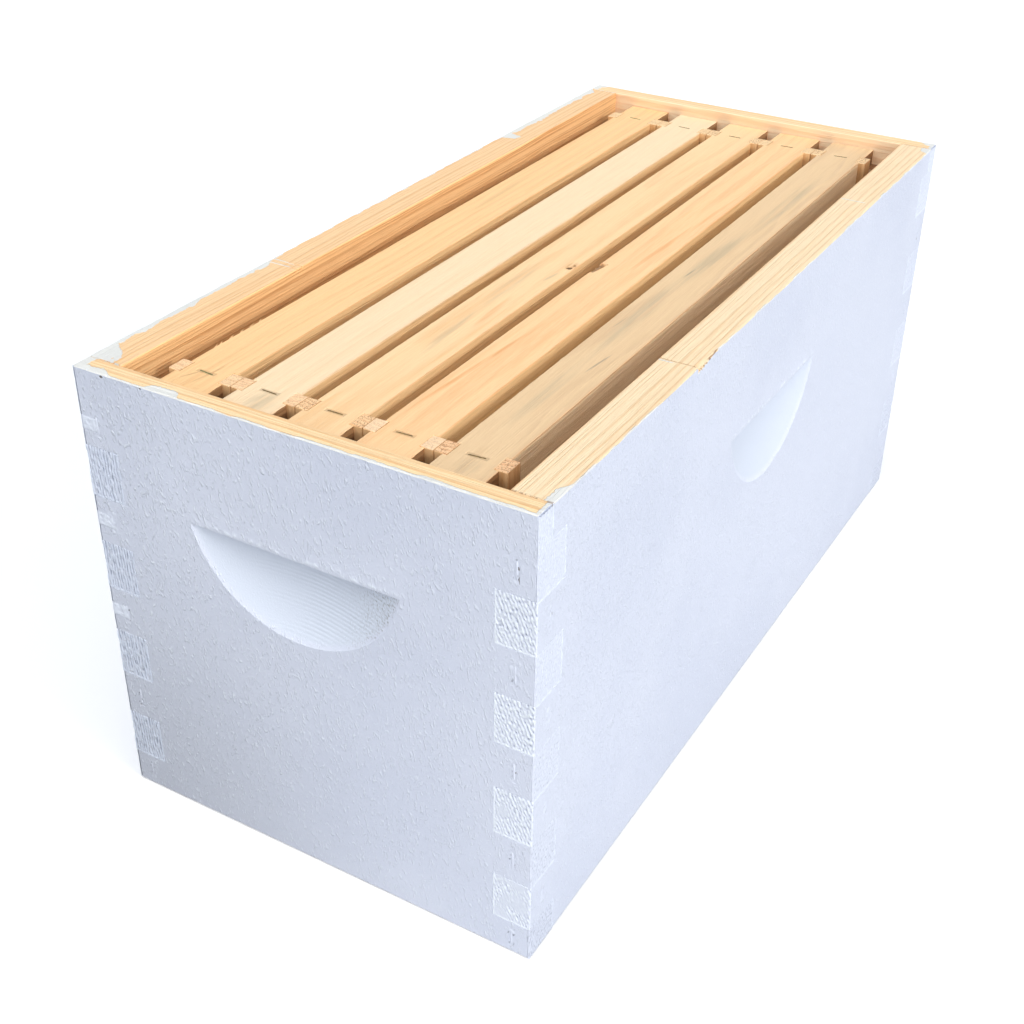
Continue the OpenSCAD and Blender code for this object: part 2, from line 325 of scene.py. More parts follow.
def rim_pine(name, grain, pith, light, dark, splices=(), crack=-999.0, **figure):
    """The bare rim of a board, with paint lapped over its outer edge and worked into its splices."""
    material, tree, shader, place = new_finish(name, 0.55)
    wood = pine_color(tree, place, grain, pith, light, dark, **figure)
    lap = use_group(tree, rim_lap, Place=place)
    mask = lap["Mask"]
    x, y = split(tree, place)[:2]
    for splice_x, splice_y, slant in splices:
        line = sum_of(tree, y, sum_of(tree, product(tree, x, slant), -splice_y - splice_x * slant))
        seam = ramp(tree, absolute(tree, line), 0.35, 0.75, 0.75, 0.0)
        near = ramp(tree, absolute(tree, sum_of(tree, x, -splice_x)), 6, 8, 1, 0)
        mask = larger(tree, mask, product(tree, seam, near))
    # The lapped paint is given warmer and less blue than the same paint on the faces: painted light, for the
    # warmer light on the top.
    skin = use_group(tree, paint_skin, Place=place, Paint=shade(229, 228, 222),
                     Shadow=shade(219, 219, 214))
    tone = mesh_tone(tree)
    dirt = larger(tree, lap["Dirt"], ramp(tree, tone, 0.0, -1.0))
    dirt = larger(tree, dirt, ramp(tree, absolute(tree, sum_of(tree, y, -crack)), 0.2, 0.6, 0.5, 0.0))
    color = tinted(tree, dirt, tinted(tree, mask, wood["Color"], skin["Color"]), shade(132, 84, 50))
    coat(tree, shader, color, sum_of(tree, wood["Height"], product(tree, mask, 2.5)), 0.1)
    return material


def inset(outline, by):
    """The outline drawn in by a small distance."""
    ring = []
    for k, corner in enumerate(outline):
        came = (corner - outline[k - 1]).normalized()
        goes = (outline[(k + 1) % len(outline)] - corner).normalized()
        inward, onward = Vector((-came.y, came.x)), Vector((-goes.y, goes.x))
        ring.append(corner + (inward + onward) * by / (1 + inward.dot(onward)))
    return ring


def walk(outline, step):
    """The outline with points no further apart than about the step."""
    points = []
    for start, stop in zip(outline, outline[1:] + outline[:1]):
        parts = max(1, round((stop - start).length / step))
        points += [start.lerp(stop, k / parts) for k in range(parts)]
    return points


def sawn(outline, place, thick, relief, loops=(), paths=(), dots=(), step=8.0, ease=arris, wear=0.0,
         tone=None):
    """Wood sawn to an outline: points, faces, each face's kind and each point's tone. place(u, v, depth)
    puts a point in the box, thick(u, v) is the wood left behind the face there, and relief(u, v) is how
    deep the face is carved."""
    plan, ties = [], []
    for line in [walk(outline, step), walk(inset(outline, ease), step), *loops]:
        ties += [(len(plan) + k, len(plan) + (k + 1) % len(line)) for k in range(len(line))]
        plan += line
    for line in paths:
        ties += [(len(plan) + k, len(plan) + k + 1) for k in range(len(line) - 1)]
        plan += line
    spots, _, cells = delaunay_2d_cdt(plan + list(dots), ties, [], 1, 1e-4)[:3]
    middles = [sum((spots[k] for k in cell), Vector((0, 0))) / len(cell) for cell in cells]
    wood = [thick(*middle) for middle in middles]
    beside = {(a, b): w for cell, w in zip(cells, wood) for a, b in zip(cell, cell[1:] + cell[:1])}
    around = {}
    for (a, b), w in beside.items():
        for spot in (a, b):
            around.setdefault(spot, set()).update((w, beside.get((b, a), 0)))
    shelves = sorted({w + by for w in set(wood) if w for by in (-2.4 * ease, 0, 2.4 * ease)} | {2.4 * ease})
    points, faces, kinds, tones, known = [], [], [], [], {}

    def point(spot, depth, key):
        if (spot, key) not in known:
            known[spot, key] = len(points)
            points.append(place(*spots[spot], depth) * mm)
            tones.append(tone(*spots[spot]) if tone and key == "front" else 0.0)
        return known[spot, key]

    def front_depth(spot):
        u, v = spots[spot]
        uneven = wear * noise.noise(Vector((u, v, thick(u, v))) * 0.21)
        return relief(u, v) + (ease * (1 + uneven) if 0 in around[spot] else 0)

    def front(spot):
        return point(spot, front_depth(spot), "front")

    def back(spot, deep):
        return point(spot, deep - (ease if min(around[spot]) < deep else 0), ("back", deep))

    for cell, deep in zip(cells, wood):
        if deep:
            faces += [[front(k) for k in cell], [back(k, deep) for k in reversed(cell)]]
            kinds += ["face", "back"]
            for a, b in zip(cell, cell[1:] + cell[:1]):
                shallow = beside.get((b, a), 0)
                if shallow < deep:
                    rings = [(back(a, shallow), back(b, shallow)) if shallow else (front(a), front(b))]
                    start = max(shallow, front_depth(a) + ease, front_depth(b) + ease)
                    rings += [(point(a, level, level), point(b, level, level)) for level in shelves
                              if start < level < deep - ease]
                    rings.append((back(a, deep), back(b, deep)))
                    faces += [(a1, a2, b2, b1) for (a1, b1), (a2, b2) in zip(rings, rings[1:])]
                    kinds += ["wall"] * (len(rings) - 1)
    return points, faces, kinds, tones


def grid_faces(cols, rows):
    """The faces between the points of a grid."""
    return [(k, k + 1, k + cols + 2, k + cols + 1)
            for j in range(rows) for k in range(j * (cols + 1), j * (cols + 1) + cols)]


def crust(corner, right, up, out, size, over, rough, lean, seed, broken=0.7, filled=0.0, clean=0.0,
          nicks=0.22):
    """Paint dried on sawn end grain: a ridge for each year and pits between, on a fine grid. over is how
    far the rim reaches past the wood on the left, the right, below and above: it wraps the box's corner
    and sinks into the joints, with a bead of paint beside it. broken is how short the ridges are, filled
    the share that the brush has filled, clean how white the paint is, and nicks how rare the dark gaps
    along the joints are."""
    spans = (size[0] + over[0] + over[1], size[1] + over[2] + over[3])
    cols, rows = (round(span / crust_step) for span in spans)
    points, tones = [], []
    for j in range(rows + 1):
        for i in range(cols + 1):
            u, v = i * spans[0] / cols - over[0], j * spans[1] / rows - over[2]
            across = u * math.cos(lean) + v * math.sin(lean)
            along = v * math.cos(lean) - u * math.sin(lean)
            year = (across + 0.9 * noise.noise(Vector((across * 0.2, along * 0.06, seed)))) / year_pitch
            pits = noise.noise(Vector((across * 1.15, along * broken, seed + 7)))
            bare = filled - 0.5 + 0.8 * noise.noise(Vector((u / 9, v / 9, seed + 11)))
            ridge = (0.8 - 0.55 * broken) * math.cos(2 * math.pi * year) + 1.4 * pits
            height = min(1, max(-1, rough * ridge * min(1, max(0.1, 0.5 - 3 * bare))))
            beaded = (over[2] and j in (1, 2)) or (over[0] == joint_side and i in (1, 2))
            if beaded or (over[1] == joint_side and cols - i in (1, 2)):
                height = max(height, 0.55 + noise.noise(Vector((u * 0.4, v * 0.4, seed + 5))))
            depth = -crust_proud * min(1, height) if height > 0 else -crust_pit * height
            if (i == 0 and over[0] == corner_lap) or (i == cols and over[1] == corner_lap):
                depth, height = crust_t, 0.0
            elif i in (0, cols) or (j == 0 and over[2]) or (j == rows and over[3]):
                nick = noise.noise(Vector((u * 0.8, v * 0.8, seed + 3)))
                depth, height = 0.25 + 0.2 * nick, -1.5 if nick > nicks else 0.0
            points.append((corner + right * u + up * v - out * depth) * mm)
            # The tone paints a highlight on the ridges and beads and shade into the pits; the nicks along
            # the joints are dark gaps.
            tones.append(min(1.0, height + clean))
    faces = grid_faces(cols, rows)
    return points, faces, ["crust"] * len(faces), tones


def blobs(corner, right, up, out, size, seed, share, clean):
    """Blobs of paint on a face: a lumpy skin that stands out in places and lies behind it in others. Its
    tone paints a highlight where it stands out and a shadow on its slopes that fall to the right and down.
    """
    cols, rows = (round(span / blob_step) for span in size)
    points, tones = [], []
    for j in range(rows + 1):
        for i in range(cols + 1):
            u, v = i * size[0] / cols, j * size[1] / rows
            from_rim = min(u, size[0] - u, v, size[1] - v)
            height, lee = (share + 1.3 * noise.noise(Vector((u * 0.55 + by, v * 0.45 - by, seed)))
                           for by in (0, 0.4))
            shadowed_slope = max(0.0, height - lee) if height > -0.2 else 0.0
            height = min(height, 1.2 * from_rim - 0.4)
            proud = max(-0.35, min(blob_t, height * blob_t))
            points.append((corner + right * u + up * v + out * proud) * mm)
            tones.append(clean * max(0.0, min(1.0, height)) - 0.9 * shadowed_slope * min(1.0, from_rim / 2))
    faces = grid_faces(cols, rows)
    return points, faces, ["blob"] * len(faces), tones


def new_object(name, data):
    """An object that stands in the scene."""
    thing = bpy.data.objects.new(name, data)
    bpy.context.scene.collection.objects.link(thing)
    return thing


def make_piece(name, parts, finishes, pick):
    """One object from lists of points and faces. pick(kind, middle, normal) names each face's finish."""
    points, faces, kinds, tones = [], [], [], []
    for more_points, more_faces, more_kinds, more_tones in parts:
        faces += [[len(points) + k for k in face] for face in more_faces]
        points += more_points
        kinds += more_kinds
        tones += more_tones
    mesh = bpy.data.meshes.new(name)
    mesh.from_pydata(points, [], faces)
    mesh.attributes.new("tone", "FLOAT", "POINT").data.foreach_set("value", tones)
    for finish in finishes.values():
        mesh.materials.append(finish)
    order = list(finishes)
    for face, kind in zip(mesh.polygons, kinds):
        face.material_index = order.index(pick(kind, face.center / mm, face.normal))
    mesh.set_sharp_from_angle(angle=math.radians(40))
    for face in mesh.polygons:
        face.use_smooth = max(abs(part) for part in face.normal) < 0.99999
    return new_object(name, mesh)


# The handhold's cutter is a ball that enters below a straight top edge.
hand_drop, hand_r, hand_rise, hand_depth = 63.5, 58.5, 13.0, 13.0
hand_top = rim_z - hand_drop
ball_r = (hand_r ** 2 + hand_depth ** 2) / (2 * hand_depth)
ball_out = ball_r - hand_depth
saw_pitch, saw_mark, torn_t = 1.9, 0.1, 0.3
bead_t, bead_limit, bead_reach = 0.3, 0.24, 1.8
crown_l, bar_crown_l, crown_w, dent_t, bar_dent_t = 10.5, 9.2, 1.2, 0.7, 0.2
crush_w = 0.75


def torn(u, v):
    """How the right end of a handhold has torn against the grain: pits above nothing, ridges below."""
    return max(0.0, min(1.0, (u - 14) / 36)) * (0.15 + noise.noise(Vector((u * 1.3, v * 1.3, 9))))


def beads(u, v):
    """Blobs of paint that hang along a handhold's top edge."""
    if abs(u) >= hand_r:
        return 0.0
    near = max(0.0, 1 - abs(v - hand_top - bead_reach) / bead_reach)
    return 1.6 * near * max(0.0, noise.noise(Vector((u * 0.5, v * 0.5, 4))) + 0.2)


def handhold_depth(u, v, rough=1.0):
    """Depth of the ball's cut, u from its middle, with the marks that the cutter has left on its floor."""
    left = ball_r ** 2 - u ** 2 - (v - hand_top - hand_rise) ** 2
    depth = math.sqrt(left) - ball_out if left > 0 and v < hand_top - 0.01 else 0
    if depth < 0.02:
        return -min(bead_limit, bead_t * beads(u, v))
    wave = math.sin(2 * math.pi * (v + 1.5 * noise.noise(Vector((u / 40, v / 90, 1)))) / saw_pitch)
    clear = max(0.0, 0.5 + u / 60 + 0.8 * noise.noise(Vector((u / 22, v / 9, 5))))
    return depth + min(1, depth / 3) * rough * (saw_mark * wave * clear + torn_t * torn(u, v))


def handhold_tone(u, v, rough=1.0):
    """The torn end keeps grey pits, and the blobs along the top edge get a painted highlight."""
    if v > hand_top:
        return beads(u, v)
    inside = handhold_depth(u, v) > 0.3
    return rough * max(-0.8, -1.1 * torn(u, v)) if inside and torn(u, v) > 0 else 0.0


def handhold_lines(middle):
    """The cut's outline, its ledge below the top edge, and points over its floor."""
    start = math.asin(hand_rise / hand_r)
    turns = [math.pi + start + k * (math.pi - 2 * start) / 72 for k in range(73)]
    arc = [Vector((middle + hand_r * math.cos(a), hand_top + hand_rise + hand_r * math.sin(a)))
           for a in turns]
    wide = hand_r * math.cos(start)
    across = [middle + wide * (k / 30 - 1) for k in range(1, 60)]
    edge = arc + [Vector((u, hand_top)) for u in reversed(across)]
    ledge = [Vector((u, hand_top - 0.1)) for u in across]
    columns = [2.0 * i for i in range(-29, 9)] + [18 + 0.5 * i for i in range(81)]
    floor = [Vector((middle + u, hand_top - j * 0.475)) for u in columns for j in range(1, 96)]
    floor = [dot for dot in floor if handhold_depth(dot.x - middle, dot.y) > 0.5]
    pivot = Vector((middle, hand_top + hand_rise))
    outside = [pivot + (corner - pivot) * (1 + by / hand_r)
               for corner in arc[1:-1] for by in (-0.5, 0.5)]
    above = [Vector((middle + i, hand_top + 0.7 * j)) for i in range(-58, 59) for j in range(1, 6)]
    return [edge], [ledge], floor + outside + above


four_corners, upward = ((-1, -1), (1, -1), (1, 1), (-1, 1)), Vector((0, 0, 1))


def slot_loops(spots, tall=True):
    """Loops round each staple crown, for the wood that is crushed in next to it."""
    loops = []
    for u, v in spots:
        for more, shake in ((3.0, 0.5), (2.0, 0.3), (1.2, 0.15), (0.6, 0.1)):
            w, h = (crown_w + more) / 2, ((crown_l if tall else bar_crown_l) + more) / 2
            if not tall:
                w, h = h, w
            loop = walk([Vector((u + a * w, v + b * h)) for a, b in four_corners], 1.3)
            loops.append([spot + shake * noise.noise_vector((spot * 0.9).to_3d()).to_2d()
                          for spot in loop])
    return loops


def crown_gap(u, v, spots, tall):
    """How far a place lies from the nearest staple crown, and on which side of it."""
    gaps, half = [], (crown_l if tall else bar_crown_l) / 2
    for a, b in spots:
        off_u, off_v = (u - a, v - b) if tall else (v - b, u - a)
        gaps.append((max(abs(off_u) - crown_w / 2, abs(off_v) - half), off_u, off_v))
    return min(gaps)


def crushed(u, v, spots, tall=True):
    """How deep the wood is crushed round the nearest staple crown."""
    if crown_gap(u, v, spots, tall)[0] > crush_w:
        return 0.0
    return dent_t * (0.55 + noise.noise(Vector((u * 0.2, v * 0.2, 8)))) if tall else bar_dent_t


def crushed_shade(u, v, spots):
    """Painted shade in the crushed wood round a crown, darker on its right and below it."""
    off, off_u, off_v = crown_gap(u, v, spots, True)
    if off > crush_w:
        return 0.0
    return -0.85 if off_u > 0 or off_v < -crown_l / 2 else -0.45


def mirrored(edge):
    """An outline from its right edge, which runs from bottom to top."""
    return [Vector((-u, v)) for u, v in edge[::-1]] + [Vector(corner) for corner in edge]


finger_end, shoulder, lip_end = half_l - crust_t, half_l - end_t, half_l - lip_t
side_edge = [(shoulder, 0.0)]
for low in finger_lows:
    high = low + finger_h
    side_edge += [(shoulder, low), (finger_end, low), (finger_end, high), (shoulder, high)]
side_edge += [(shoulder, rabbet_z), (lip_end, rabbet_z), (lip_end, rim_z)]
finger_mids = [low + finger_h / 2 for low in finger_lows]
side_staples = [(end * (half_l - end_t / 2), v) for end in (-1, 1) for v in finger_mids]

# These paints whiten ridges into a painted highlight and grey pits into painted shade. The left board's
# finger ends take darker ridges than the right's: painted shade.
white_paint = painted("white_paint", 0.25)
blob_paint = painted("blob_paint", 0.1, shade(238, 244, 255), shade(104, 108, 122))
rough_paint = {
    -1: painted("left_end_grain_paint", 0.16, shade(216, 224, 238), shade(138, 148, 168)),
    1: painted("right_end_grain_paint", 0.16, shade(244, 250, 255), shade(146, 154, 174)),
}
side_splices = ((-112, -114.6, 0.0), (-112, -110.4, 0.06), (108, 129.6, 0.0), (100.5, -110.2, 0.0))
right_splice, splice_w, splice_t = -108.5, 1.0, 0.8
splice_cuts = {-1: (114.6, 110.4), 1: (right_splice,)}
# The inner walls darken towards the bottom: painted shade.
side_pine = bare_pine("side_pine", along_y, (160.0, 0.0, -110.0), shade(254, 203, 142), shade(200, 128, 66),
                      ring=2.0, contrast=0.5, wobble=2.0, streak=0.35, grimy=(214, 237, 0.45))
side_rims = {
    -1: rim_pine("left_rim", along_y, (55.0, 0.0, -262.0), shade(248, 208, 158), shade(220, 160, 98),
                 side_splices, ring=2.9, contrast=0.36, wobble=1.2),
    1: rim_pine("right_rim", along_y, (-150.0, 0.0, -280.0), shade(250, 224, 184), shade(228, 180, 124),
                side_splices, crack=right_splice, ring=2.7, contrast=0.5, wobble=0.8, thin=0.62),
}
chip_start, chip_stop, chip_t, chip_h = right_splice, -87.0, 1.6, 3.4


def pick_side(kind, middle, normal):
    if kind in ("crust", "blob"):
        return kind
    if kind == "face":
        torn_off = middle.x > 0 and chip(middle.y, middle.z) > 0.06
        return "rim" if torn_off or (normal.z > 0.3 and middle.z > rim_z - 1) else "paint"
    at_lip = middle.z > rabbet_z and abs(middle.y) > lip_end - 0.1
    if kind == "wall" and (middle.z > rim_z - 1.5 or middle.z < 1.5 or at_lip):
        return "rim"
    outside = abs(middle.y) > half_l - 1 or abs(middle.x) > half_w - 2
    return "paint" if kind == "wall" and outside else "bare"


def chip(u, v):
    """A torn place in the right board's top edge, behind its splice."""
    if not (chip_start < u < chip_stop and v > rim_z - chip_h):
        return 0.0
    left = (chip_stop - u) / (chip_stop - chip_start) * (1 + 0.5 * noise.noise(Vector((u * 0.6, 0, 6))))
    return chip_t * max(0.0, left + (v - rim_z) / chip_h)


def chip_tone(u, v):
    """Dark torn fibres along the lower edge of the chip."""
    return -0.8 if 0 < chip(u, v) < 0.35 and noise.noise(Vector((u * 2.2, v * 2.2, 2))) > -0.05 else 0.0


for name, side in (("left_side_board", -1), ("right_side_board", 1)):
    loops, paths, dots = handhold_lines(0.0)
    cuts = [Vector((u + a * splice_w / 2, rim_z - (a == 0) * splice_t))
            for u in splice_cuts[side] for a in (1, 0, -1)]
    dots += [Vector((chip_start + 0.7 * i, rim_z - 0.6 * j)) for i in range(32) for j in range(2, 9)]
    board = sawn(mirrored(side_edge) + cuts, lambda u, v, w: Vector((side * (half_w - w), side * u, v)),
                 lambda u, v: side_t,
                 lambda u, v: (handhold_depth(u, v, 0.2) + crushed(u, v, side_staples)
                               + (chip(u, v) if side > 0 else 0)),
                 loops + slot_loops(side_staples), paths, dots, step=4, wear=0.9,
                 tone=lambda u, v: (handhold_tone(u, v, 0.0) + crushed_shade(u, v, side_staples) / 2
                                    + side * chip_tone(u, v)))
    rough, lean, broken = (1.0, 24, 0.6) if side > 0 else (1.35, 3, 0.3)
    brushed = (0.45, 0.1, 0.0, 0.0) if side > 0 else (-0.3,) * finger_count
    crusts = []
    for k, low in enumerate(finger_lows):
        for end in (-1, 1):
            at_left = side == end
            start = Vector((side * (half_w - arris if at_left else half_w - side_t), end * half_l, low))
            over = (corner_lap, joint_side) if at_left else (joint_side, corner_lap)
            crusts.append(crust(start, Vector((-end, 0, 0)), upward, Vector((0, end, 0)),
                                (side_t - arris, finger_h), (*over, joint_lap, joint_lap), rough,
                                math.radians(lean), 10 * k + 3 * side + end, broken, brushed[k], clean=0.35))
    finishes = {"paint": white_paint, "blob": blob_paint, "crust": rough_paint[side], "bare": side_pine,
                "rim": side_rims[side]}
    for v in finger_mids:
        for end in (-1, 1):
            start = Vector((side * half_w, end * (half_l - end_t / 2) - side * 2.5, v - 6.5))
            crusts.append(blobs(start, Vector((0, side, 0)), upward, Vector((side, 0, 0)), (5, 13),
                                v + 3 * end + side, -0.1, 0.8))
    piece = make_piece(name + "_painted", [board, *crusts], finishes, pick_side)
    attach(piece, "box")
    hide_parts(name)

# End boards: two thicker pine boards whose tabs lock between the side boards' fingers. A rabbet along the
# top inside carries the frames' lugs and leaves a thin lip. The handhold and the paint are as on the sides.
hand_shift = -3.0
blob_shares = (-0.3, -0.35, -0.3, 0.1, -0.3)
tab_end, notch = half_w - crust_t, half_w - side_t
end_edge = [(tab_end, 0.0)]
for low in finger_lows:
    end_edge += [(tab_end, low - glue_gap), (notch, low - glue_gap), (notch, low + finger_h + glue_gap),
                 (tab_end, low + finger_h + glue_gap)]
end_edge += [(tab_end, rim_z)]
tab_lows = [0.0] + [low + finger_h for low in finger_lows]
tab_highs = finger_lows + [rabbet_z]
tab_mids = [(low + high) / 2 for low, high in zip(tab_lows, tab_highs)]
end_staples = [(side * (half_w - side_t / 2), v) for side in (-1, 1) for v in tab_mids]

end_finishes = {
    "paint": white_paint,
    "blob": blob_paint,
    # Its ridges take a painted highlight and its pits painted shade.
    "crust": painted("smooth_end_grain_paint", 0.12, shade(240, 247, 255), shade(150, 156, 170)),
    "rim": rim_pine("end_rim", along_x, (210.0, 0.0, -262.0), shade(252, 221, 172), shade(226, 166, 102),
                    ring=3.2, contrast=0.5, wobble=1.2),
    # The inner face darkens towards the bottom: painted shade.
    "bare": bare_pine("end_pine", along_x, (30.0, 0.0, -60.0), shade(255, 224, 184), shade(242, 186, 134),
                      ring=4.0, contrast=0.4, grimy=(212, 231, 0.4)),
    # seat: a much darker copy of the pine for the rabbet floor, painted shade for the dark pockets between
    # the lugs.
    "seat": bare_pine("rabbet_pine", along_x, (30.0, 0.0, -60.0), shade(140, 96, 58), shade(108, 72, 40),
                      ring=4.0),
}


def pick_end(kind, middle, normal):
    if kind in ("crust", "blob"):
        return kind
    if kind == "face":
        return "rim" if normal.z > 0.3 and middle.z > rim_z - 1 else "paint"
    if kind == "wall" and (middle.z > rim_z - 1.5 or middle.z < 1.5):
        return "rim"
    # The rabbet floor takes the darker copy of the pine: painted shade.
    if normal.z > 0.9 and abs(middle.z - rabbet_z) < 1:
        return "seat"
    outside = abs(middle.x) > half_w - 1 or abs(middle.y) > half_l - 2
    return "paint" if kind == "wall" and outside else "bare"


edge_pits, pit_t, pit_dirt = ((-102.5, 243.5, 1.3), (-79.7, 243.9, 0.9)), 0.4, 1.5


def pitted(u, v):
    """Whether a place lies in one of the two small dark pits below the rim."""
    return any(math.hypot(u - a, v - b) < 0.6 * r for a, b, r in edge_pits)


for name, end in (("front_end_board", -1), ("back_end_board", 1)):
    middle = -end * hand_shift
    loops, paths, dots = handhold_lines(middle)
    seat = [Vector((u, rabbet_z)) for u in (-tab_end, tab_end)]
    pits = [Vector((a + share * r * math.cos(k), b + 0.6 * share * r * math.sin(k)))
            for a, b, r in edge_pits for share in (0, 0.5, 1) for k in range(6)] if end < 0 else []
    board = sawn(mirrored(end_edge), lambda u, v, w: Vector((-end * u, end * (half_l - w), v)),
                 lambda u, v: lip_t if v > rabbet_z else end_t,
                 lambda u, v: (handhold_depth(u - middle, v) + crushed(u, v, end_staples)
                               + pit_t * (end < 0 and pitted(u, v))),
                 loops + slot_loops(end_staples), paths + [seat], dots + pits, step=4, wear=0.9,
                 tone=lambda u, v: (handhold_tone(u - middle, v) + crushed_shade(u, v, end_staples)
                                    - pit_dirt * (end < 0 and pitted(u, v))))
    crusts = []
    for k, (low, high) in enumerate(zip(tab_lows + [rabbet_z], tab_highs + [rim_z - arris])):
        for side in (-1, 1):
            deep, at_left = lip_t if high > rabbet_z else end_t, side != end
            start = Vector((side * half_w, end * (half_l - arris if at_left else half_l - deep), low))
            over = (corner_lap, joint_side) if at_left else (joint_side, corner_lap)
            below, above = joint_lap * (0 < low < rabbet_z), joint_lap * (high <= rabbet_z)
            crusts.append(crust(start, Vector((0, side, 0)), upward, Vector((side, 0, 0)),
                                (deep - arris, high - low), (*over, below, above), 0.45, math.radians(-17),
                                50 + 10 * k + 3 * side + end, clean=0.1 * k - 0.2,
                                nicks=0.22 if k < 4 else 0.5))
    for k, v in enumerate(tab_mids):
        for side in (-1, 1):
            patches = [(half_w - side_t / 2 + side * end * 3.5, 7, 14, blob_shares[k], 1.0)]
            if side == end and k > 1:
                patches.append((half_w - 0.6, 10.5, 8, 0.75, 1.2))
            for off, wide, high, share, clean in patches:
                start = Vector((side * off, end * half_l, v - high / 2))
                crusts.append(blobs(start, Vector((-end, 0, 0)), upward, Vector((0, end, 0)), (wide, high),
                                    v + 5 * side + end + wide, share, clean))
    piece = make_piece(name + "_painted", [board, *crusts], end_finishes, pick_end)
    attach(piece, "box")
    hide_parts(name)

# Corner staples: steel wire staples shot through the tabs and the fingers of each corner, then painted over
# with the boards. Only their upright crowns show.
wire_t, corner_leg, crown_proud = 1.2, 38.0, 0.2


def staple_tree():
    """A staple bent from round wire, set at every point of a mesh and turned as the point's turn says."""
    tree, given, result = new_group(
        "staples",
        {"Geometry": "Geometry", "Crown": "Float", "Leg": "Float", "Wire": "Float", "Finish": "Material"},
        {"Geometry": "Geometry"}, "GeometryNodeTree")
    bend = less(tree, put(tree, "GeometryNodeInputIndex"), 1.5)
    half = product(tree, less(tree, given["Crown"], given["Wire"]), 0.5)
    foot = put(tree, "ShaderNodeMath", absolute(tree, bend), 1.0, operation="GREATER_THAN")
    wire_r = product(tree, given["Wire"], 0.5)
    down = sum_of(tree, wire_r, product(tree, foot, given["Leg"]))
    way = put(tree, "ShaderNodeMath", bend, operation="SIGN")
    corner = put(tree, "ShaderNodeCombineXYZ", product(tree, way, half), 0.0, product(tree, down, -1.0))
    line = put(tree, "GeometryNodeMeshLine", 4)
    path = put(tree, "GeometryNodeMeshToCurve", put(tree, "GeometryNodeSetPosition", line, None, corner))
    bend_r = product(tree, given["Wire"], 0.8)
    bent = put(tree, "GeometryNodeFilletCurve", path, 3, bend_r, True, mode="POLY")
    ring = put(tree, "GeometryNodeCurvePrimitiveCircle", 10, None, None, None, wire_r)
    wire = put(tree, "GeometryNodeCurveToMesh", bent, ring, None, True)
    turn = put(tree, "GeometryNodeInputNamedAttribute", "turn", data_type="FLOAT_VECTOR")
    spin = put(tree, "FunctionNodeEulerToRotation", turn)
    copies = put(tree, "GeometryNodeInstanceOnPoints", given["Geometry"], None, wire, None, None, spin)
    real = put(tree, "GeometryNodeRealizeInstances", copies)
    smooth = put(tree, "GeometryNodeSetShadeSmooth", real)
    finish = put(tree, "GeometryNodeSetMaterial", smooth, None, given["Finish"])
    tree.links.new(finish, result["Geometry"])
    return tree


staples_of_wire = staple_tree()


def set_by_tree(name, mesh, tree, values):
    """A plain mesh object from what a geometry tree makes of a mesh, with the tree's inputs by title."""
    maker = new_object(name + "_maker", mesh)
    modifier = maker.modifiers.new("maker", "NODES")
    modifier.node_group = tree
    for socket in tree.interface.items_tree:
        if socket.in_out == "INPUT" and socket.name in values:
            modifier[socket.identifier] = values[socket.name]
    graph = bpy.context.evaluated_depsgraph_get()
    made = bpy.data.meshes.new_from_object(maker.evaluated_get(graph), depsgraph=graph)
    maker.modifiers.remove(modifier)
    bpy.data.objects.remove(maker)
    made.name = name
    return new_object(name, made)


def staples(name, spots, crown, leg, wire, finish):
    """Staples at a list of places, each with the turn of its crown and legs."""
    mesh = bpy.data.meshes.new(name + "_places")
    mesh.from_pydata([Vector(place) * mm for place, turn in spots], [], [])
    turns = mesh.attributes.new("turn", "FLOAT_VECTOR", "POINT")
    for k, (place, turn) in enumerate(spots):
        turns.data[k].vector = turn
    return set_by_tree(name, mesh, staples_of_wire,
                       {"Crown": crown * mm, "Leg": leg * mm, "Wire": wire * mm, "Finish": finish})


def facing(angle):
    """The turn of a staple driven into a face that looks along +X turned by an angle, its crown upright."""
    turn = Matrix.Rotation(math.radians(angle), 3, "Z")
    return (turn @ Matrix.Rotation(math.radians(90), 3, "Y")).to_euler()


staple_paint = painted("painted_staple", 0.08)
end_spots = [((side * (half_w - side_t / 2), end * (half_l + crown_proud), z), facing(end * 90))
             for side in (-1, 1) for end in (-1, 1) for z in tab_mids]
side_spots = [((side * (half_w + crown_proud), end * (half_l - end_t / 2), z), facing((1 - side) * 90))
              for side in (-1, 1) for end in (-1, 1) for z in finger_mids]
for name, spots in (("end_board_staples", end_spots), ("side_board_staples", side_spots)):
    piece = staples(name + "_painted", spots, crown_l, corner_leg, wire_t, staple_paint)
    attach(piece, "box")
    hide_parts(name)

# Top bars: one pine bar over each comb, grooved underneath, with a neck and a lug at both ends. They are
# sawn and left bare, and each comes from another plank: one straight-grained, one arched, one stained grey.
bar_low, bar_high = (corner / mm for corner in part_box("frame_1_top_bar"))
bar_w, bar_t, bar_end = bar_high.x - bar_low.x, bar_high.z - bar_low.z, bar_high.y
frame_xs = [sum(corner.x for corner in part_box("frame_%d_top_bar" % i)) / 2 / mm for i in range(1, 6)]
end_bar_in, end_bar_out = (corner.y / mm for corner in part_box("frame_1_rear_end_bar"))
lug_t, neck_w, groove_w, groove_t, fit = 9.5, 22.4, 3.0, 6.0, 0.15
bar_top, rounded, splinter_t = bar_high.z, 0.5, 0.6
main_end, lug_start = end_bar_in - fit, end_bar_out + fit
bar_edge = [(bar_w / 2, -bar_end), (bar_w / 2, -lug_start), (neck_w / 2, -lug_start),
            (neck_w / 2, -main_end), (bar_w / 2, -main_end)]
bar_edge += [(u, -v) for u, v in reversed(bar_edge)]
bar_staples = [(0.0, end * (end_bar_in + end_bar_out) / 2) for end in (-1, 1)]
